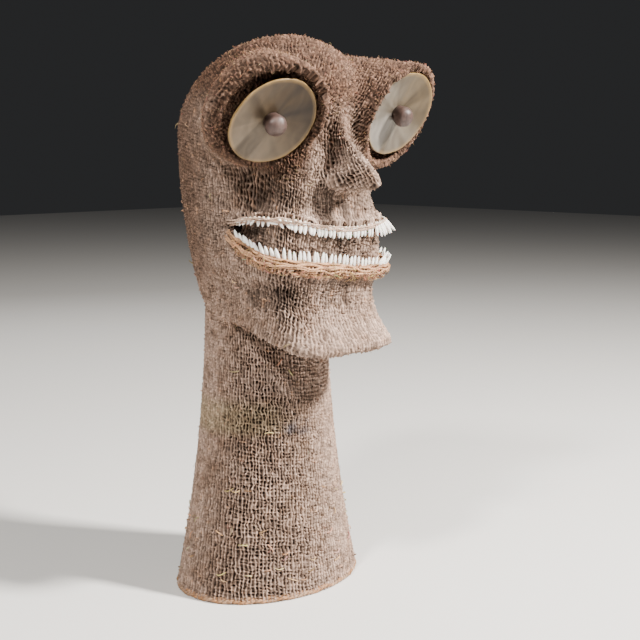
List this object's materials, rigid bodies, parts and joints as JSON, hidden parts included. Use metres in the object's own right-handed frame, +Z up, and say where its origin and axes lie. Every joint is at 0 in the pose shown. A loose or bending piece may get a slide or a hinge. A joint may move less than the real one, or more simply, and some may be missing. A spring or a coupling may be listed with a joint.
{
  "type": "kukailimoku figure",
  "caption": "Hollow wicker head and neck of a Hawaiian war god image, covered with fine netting, with staring pearl shell eyes on hooded mounds and an open mouth lined with teeth.",
  "frame": {"origin": "on the ground under the middle of the whole figure's box; the neck's own axis stands 31 mm behind it", "axes": "+Z up, -Y the way the face looks, +X the figure's own left"},
  "size_m": [0.2814, 0.2466, 0.5434],
  "materials": {
    "net_over_wicker": "matt knotted plant fibre cord, dry and dusty",
    "pearl_shell": "worn nacre, softly glossy",
    "dark_wood": "rubbed, slightly rough",
    "tooth_enamel": "smooth ivory white"
  },
  "bodies": {
    "root": {"wicker_body": "net_over_wicker", "left_eye_shell": "pearl_shell", "right_eye_shell": "pearl_shell", "left_pupil": "dark_wood", "right_pupil": "dark_wood", "upper_teeth": "tooth_enamel", "lower_teeth": "tooth_enamel"}
  },
  "joints": []
}
